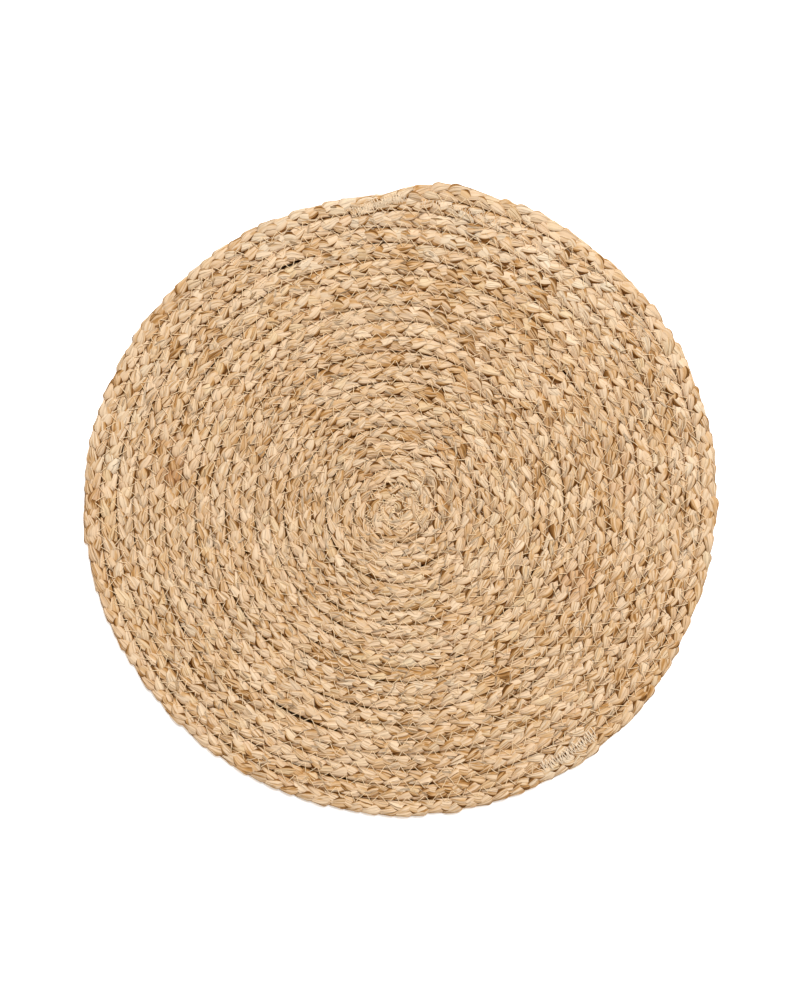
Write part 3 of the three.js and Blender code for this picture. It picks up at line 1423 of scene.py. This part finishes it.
@dataclass
class Stitching:
    """The zigzag thread that joins each turn of the plait to the next, and the dense locking stitches."""

    coil: Coil
    plait: Plait
    jitter: float = 0.3
    reach_spread: float = 0.4
    seam_drift: Drift = Drift(40.0, 0.6)
    bow: float = 0.07
    bedding: float = 0.55
    dive: float = 0.7
    seed: int = 31
    runs: tuple[Run, ...] = (
        Run("zigzag_upper", 0.35, 20.95, 4.4, 2.7, sides=4),
        Run("zigzag_under", 0.35, 20.95, 4.4, 2.6, Side.UNDER, stations=4, sides=3),
        Run("lock_stitch_tail", 20.9665, 20.9995, 0.75, 3.2, line=Line.PLAIT, thread=0.17, pale=0.6),
        Run(
            "lock_stitch_tail_again", 20.970, 20.998, 0.9, 2.6,
            line=Line.PLAIT, seed=2, thread=0.17, pale=0.4,
        ),
        Run("lock_stitch_seam", 20.5385, 20.573, 1.05, 3.5, seed=3, thread=0.36, pale=0.8),
        Run("lock_stitch_splice", 19.906, 19.952, 1.1, 2.8, line=Line.PLAIT, seed=4, thread=0.17, pale=0.7),
        Run("lock_stitch_start", 0.05, 2.4, 3.0, 2.4, seed=5, thread=0.2),
        Run(
            "lock_stitch_tail_third", 20.9665, 20.996, 0.8, 1.9,
            line=Line.PLAIT, seed=7, thread=0.17, pale=0.8,
        ),
        Run("thread_end_start", 0.16, 0.36, 0.42, 1.2, seed=8),
    )

    def needle_points(self, run: Run, rng: np.random.Generator) -> Array:
        """Where the needle goes through: along the run's line, alternately on its two sides.

        Args:
            run: the stretch.
            rng: source of the unevenness.

        Returns:
            Plan points in sewing order.
        """
        fine = np.linspace(run.first_turn, run.last_turn, FINE_POINTS)
        line = self.coil.seam(fine) if run.line is Line.SEAM else self.coil.rows(fine).middle
        distance = lengths(line)
        count = int(distance[-1] / run.step)
        place = (np.arange(count) + rng.uniform(-self.jitter, self.jitter, count)) * run.step
        turn = np.interp(np.clip(place, 0.0, distance[-1]), distance, fine)
        out = right_of(unit(np.gradient(line, axis=0)))
        side = np.where(np.arange(count) % 2, 1.0, -1.0)
        reach = side * run.reach * (1.0 + rng.uniform(-self.reach_spread, self.reach_spread, count))
        reach = reach + wander(rng, place + run.step, self.seam_drift)
        points, out = np.split(read_rows(turn, fine, np.concatenate([line, out], 1)), 2, axis=1)
        return points + out * reach[:, None]

    def legs(self, run: Run) -> tuple[Array, Array]:
        """Middle lines of the thread between needle points.

        Each is drawn tight over what stands highest under it, and dives into the leaf at both ends.

        Args:
            run: the stretch.

        Returns:
            Points by leg and station, and a random value for each leg.
        """
        rng = np.random.default_rng(self.seed + run.seed)
        needle = self.needle_points(run, rng)
        share = np.linspace(0.0, 1.0, run.stations)
        start, end = needle[:-1], needle[1:]
        bow = rng.uniform(-self.bow, self.bow, len(start))[:, None] * np.sin(math.pi * share)
        plan = start[:, None] + (end - start)[:, None] * share[None, :, None]
        plan = plan + right_of(end - start)[:, None] * bow[..., None]
        heights = self.plait.upper if run.side is Side.UPPER else self.plait.under
        face = heights.at(plan)
        tight = face.copy()
        for i in range(1, run.stations - 1):
            for j in range(i + 1, run.stations - 1):
                for k in range(i, j + 1):
                    bridge = blend(face[:, i], face[:, j], (k - i) / (j - i))
                    tight[:, k] = np.maximum(tight[:, k], bridge)
        level = tight + self.bedding * run.thread
        level[:, [0, -1]] = np.minimum(face[:, [0, -1]], level[:, [1, -2]]) - self.dive
        height = level * run.side.value
        return lift(plan, np.maximum(height, run.thread)), rng.uniform(0.0, 1.0, len(start))

    def sew(self, run: Run) -> bpy.types.Object:
        """The thread of one stretch as joined round tubes.

        Args:
            run: the stretch.

        Returns:
            The thread's object.
        """
        lines, tint = self.legs(run)
        forward = unit(np.gradient(lines, axis=1))
        across = unit(np.cross(forward, UP))
        above = np.cross(across, forward)
        angle = math.tau * np.arange(run.sides)[::-1] / run.sides
        ring = across[:, :, None] * np.cos(angle)[:, None] + above[:, :, None] * np.sin(angle)[:, None]
        rings = lines[:, :, None] + run.thread * ring
        values = {TONE: tint[:, None, None], GREY: np.full((1, 1, 1), run.pale)}
        return add_tubes(run.name, rings, lengths(lines), values)

    def build(self, finish: ThreadFinish) -> list[bpy.types.Object]:
        """Makes and dresses the thread of every stretch.

        Args:
            finish: the thread's finish.

        Returns:
            The threads, one for each stretch.
        """
        material = finish.material()
        pieces = [self.sew(run) for run in self.runs]
        for piece in pieces:
            put_on_mat(piece, material)
        return pieces


@dataclass(frozen=True)
class Scatter:
    """One kind of loose strip: how many, their usual size and tone, and how they lie.

    Lean is their usual angle to the plait in radians, and spread how much it differs. They lie from the
    start of the coil out to a last turn.
    """

    name: str
    count: int
    length: float
    half_width: float
    half_thickness: float
    tone: float
    lean: float
    spread: float = 0.35
    last_turn: float = 20.0
    stations: int = 5


@dataclass
class Splinters:
    """Loose strips and fibres of leaf on the plait's upper face, with their ends tucked in."""

    coil: Coil
    plait: Plait
    kinds: tuple[Scatter, ...] = (
        Scatter("loose_strips", 520, 7.5, 0.65, 0.16, 0.62, 0.42),
        Scatter("loose_fibres", 600, 7.0, 0.16, 0.12, 0.9, 0.7),
        Scatter("start_strips", 30, 6.0, 1.0, 0.3, 0.68, 0.3, 1.0, 3.0),
    )
    first_turn: float = 0.3
    first_share: float = 0.001
    across: float = 0.4
    shortest: float = 0.6
    longest: float = 1.4
    bend: float = 0.1
    tuck: float = 0.5
    lowest: float = 0.5
    slimmest: float = 0.6
    broadest: float = 1.3
    tip: float = 0.25
    sides: int = 4
    crisp: tuple[int, ...] = (0, 2)
    map_spread: float = 900.0
    tone_spread: float = 0.12
    tint_spread: float = 0.2
    # painted shade along the strips' flat edges
    edge_painted_shade: float = 0.1
    seed: int = 51

    def lines(self, kind: Scatter, rng: np.random.Generator) -> Array:
        """Middle lines of the strips, spread evenly over the mat and lying as the leaves there do.

        Args:
            kind: which strips.
            rng: source of their places and bends.

        Returns:
            Points by strip and station.
        """
        fine = np.linspace(self.first_turn, self.coil.turns - 1.0, FINE_POINTS)
        rows = self.coil.rows(fine)
        turn = kind.last_turn * np.sqrt(rng.uniform(self.first_share, 1.0, kind.count))
        table = np.concatenate([rows.middle, rows.along, rows.out, rows.out * rows.width[:, None]], 1)
        middle, along, out, breadth = np.split(read_rows(turn, fine, table), 4, axis=1)
        across = rng.uniform(-self.across, self.across, kind.count)
        middle = middle + breadth * across[:, None]
        lean = -np.sign(across) * rng.normal(kind.lean, kind.spread, kind.count)
        heading = along * np.cos(lean)[:, None] + out * np.sin(lean)[:, None]
        length = kind.length * rng.uniform(self.shortest, self.longest, kind.count)
        share = np.linspace(0.0, 1.0, kind.stations)
        bend = rng.uniform(-self.bend, self.bend, kind.count)[:, None] * np.sin(math.pi * share)
        plan = middle[:, None] + heading[:, None] * (length[:, None] * (share - 0.5))[..., None]
        plan = plan + right_of(heading)[:, None] * (length[:, None] * bend)[..., None]
        height = self.plait.upper.at(plan)
        height[:, 1:-1] = (height[:, :-2] + 2.0 * height[:, 1:-1] + height[:, 2:]) / 4.0
        height[:, [0, -1]] = np.minimum(height[:, [0, -1]], height[:, [1, -2]]) - self.tuck
        return lift(plan, np.maximum(height, self.lowest))

    def lay(self, kind: Scatter, seed: int) -> bpy.types.Object:
        """The strips of one kind as joined tubes with a flat four-sided section and pointed ends.

        Args:
            kind: which strips.
            seed: start of their random values.

        Returns:
            The strips' object.
        """
        rng = np.random.default_rng(seed)
        lines = self.lines(kind, rng)
        forward = unit(np.gradient(lines, axis=1))
        flat = unit(np.cross(forward, UP))
        through = np.cross(forward, flat)
        share = np.linspace(0.0, 1.0, kind.stations)
        size = rng.uniform(self.slimmest, self.broadest, kind.count)[:, None]
        size = size * blend(self.tip, 1.0, np.sin(math.pi * share))
        angle = math.pi + math.tau * np.arange(self.sides) / self.sides
        ring = flat[:, :, None] * (kind.half_width * np.cos(angle))[:, None]
        ring = ring + through[:, :, None] * (kind.half_thickness * np.sin(angle))[:, None]
        rings = lines[:, :, None] + ring * size[..., None, None]
        along = np.linspace(0.0, kind.length, kind.stations)
        along = along + rng.uniform(0.0, self.map_spread, (kind.count, 1))
        tone = kind.tone + rng.normal(0.0, self.tone_spread, kind.count)
        # Painted shade along the two flat edges of each strip
        painted_edge_shade = self.edge_painted_shade * np.abs(np.cos(angle))
        values = {
            TONE: tone[:, None, None] - painted_edge_shade,
            GREY: rng.normal(0.0, self.tint_spread, kind.count)[:, None, None],
            RUST: rng.normal(0.0, self.tint_spread, kind.count)[:, None, None],
        }
        return add_tubes(kind.name, rings, along, values, self.crisp)

    def build(self, material: bpy.types.Material) -> list[bpy.types.Object]:
        """Makes and dresses the strips of every kind.

        Args:
            material: the leaf's finish.

        Returns:
            The strips, one object for each kind.
        """
        pieces = [self.lay(kind, self.seed + number) for number, kind in enumerate(self.kinds)]
        for piece in pieces:
            put_on_mat(piece, material)
        return pieces


@dataclass
class Studio:
    """Pale floor, soft light from above and a camera straight over the mat.

    Lengths are in metres here, with the lens and its sensor in millimetres. The photograph's sizes are in
    pixels.
    """

    floor_size: float = 60.0
    floor_drop: float = 0.0003
    floor_colour: Colour = (0.94, 0.94, 0.94)
    floor_roughness: float = 0.9
    # Painted shadow on the floor under the mat, seen through the seams
    shade_colour: Colour = (0.10, 0.06, 0.03)
    no_glow: Colour = (0.0, 0.0, 0.0)
    near_glow: Colour = (0.47, 0.47, 0.47)
    far_glow: Colour = (0.85, 0.9, 1.0)
    glow_from: float = 0.1815
    glow_to: float = 0.184
    far_from: float = 0.4
    far_to: float = 3.0
    photo_height: float = 1000.0
    photo_middle: tuple[float, float] = (400.0, 500.0)
    mat_middle: tuple[float, float] = (400.5, 500.0)
    mat_pixels: float = 635.5
    lens: float = 85.0
    sensor: float = 36.0
    sky: float = 0.26
    sky_colour: Colour = (1.0, 0.71, 0.405)
    key_power: float = 311.0
    key_colour: Colour = (0.866, 0.931, 1.0)
    key_size: float = 2.4
    key_distance: float = 5.0
    key_angle: float = 68.0
    key_elevation: float = 64.0

    def build(self, low: Vector, high: Vector) -> None:
        """Sets up floor, light and camera.

        Args:
            low: lowest corner of the mat's box.
            high: its highest corner.
        """
        self._floor()
        self._light()
        self._camera(low, high)
        bpy.context.scene.view_settings.view_transform = "Standard"

    def _floor(self) -> None:
        """A wide plane just under the mat, which glows faintly all round it and is dark beneath it.

        The glow washes out the mat's shadow round its rim, and the dark beneath it is a painted shadow,
        seen through the seams.
        """
        half = self.floor_size / 2.0
        signs = ((-1, -1), (1, -1), (1, 1), (-1, 1))
        mesh = bpy.data.meshes.new("floor")
        mesh.from_pydata([(x * half, y * half, -self.floor_drop) for x, y in signs], [], [(0, 1, 2, 3)])
        floor = bpy.data.objects.new("floor", mesh)
        bpy.context.scene.collection.objects.link(floor)
        graph = Graph("pale_floor")
        coordinates = graph.node("ShaderNodeTexCoord", {}, {}).outputs["Object"]
        length = graph.node("ShaderNodeVectorMath", {"operation": "LENGTH"}, {0: coordinates})
        distance = graph.value(length, "Value")
        around = distance.cut(self.glow_from, self.glow_to)
        light = graph.mixed(around, self.no_glow, self.near_glow)
        light = graph.mixed(distance.cut(self.far_from, self.far_to), light, self.far_glow)
        finish = graph.finish(
            # Painted shadow under the mat, and the pale floor round it
            Base_Color=graph.mixed(around, self.shade_colour, self.floor_colour),
            Roughness=self.floor_roughness,
            Emission_Color=light,
            Emission_Strength=1.0,
        )
        mesh.materials.append(finish)
        floor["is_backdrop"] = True

    def _light(self) -> None:
        """A warm even sky and one large soft lamp, which is cooler, so that both together are white."""
        world = bpy.data.worlds.new("studio")
        world.use_nodes = True
        background = world.node_tree.nodes["Background"]
        background.inputs["Color"].default_value = (*self.sky_colour, 1.0)
        background.inputs["Strength"].default_value = self.sky
        bpy.context.scene.world = world
        lamp = bpy.data.lights.new("key", "AREA")
        lamp.shape = "DISK"
        lamp.size = self.key_size
        lamp.energy = self.key_power
        lamp.color = self.key_colour
        key = bpy.data.objects.new("key", lamp)
        angle, elevation = math.radians(self.key_angle), math.radians(self.key_elevation)
        flat = math.cos(elevation)
        ray = Vector((math.cos(angle) * flat, math.sin(angle) * flat, math.sin(elevation)))
        key.location = ray * self.key_distance
        key.rotation_euler = ray.to_track_quat("Z", "Y").to_euler()
        bpy.context.scene.collection.objects.link(key)

    def _camera(self, low: Vector, high: Vector) -> None:
        """A camera over the mat, at the distance where the mat is as wide as in the photograph.

        Args:
            low: lowest corner of the mat's box.
            high: its highest corner.
        """
        pixel = (high.x - low.x) / self.mat_pixels
        camera = bpy.data.cameras.new("camera")
        camera.lens = self.lens
        camera.sensor_width = self.sensor
        above = self.photo_height * pixel * self.lens / self.sensor
        eye = bpy.data.objects.new("camera", camera)
        middle = (low + high) / 2.0
        eye.location = (
            middle.x - (self.mat_middle[0] - self.photo_middle[0]) * pixel,
            middle.y + (self.mat_middle[1] - self.photo_middle[1]) * pixel,
            middle.z + above,
        )
        bpy.context.scene.collection.objects.link(eye)
        bpy.context.scene.camera = eye


def main() -> None:
    """Builds the mat's pieces on the frame, then the studio."""
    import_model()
    low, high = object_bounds()
    coil = Coil().centred(low, high)
    plait = Plait(coil)
    leaf = LeafFinish().material()
    strands = plait.build(leaf)
    loose = Splinters(coil, plait).build(leaf)
    thread = Stitching(coil, plait).build(ThreadFinish())
    Studio().build(low, high)


if __name__ == "__main__":
    logging.basicConfig(level=logging.INFO)
    main()
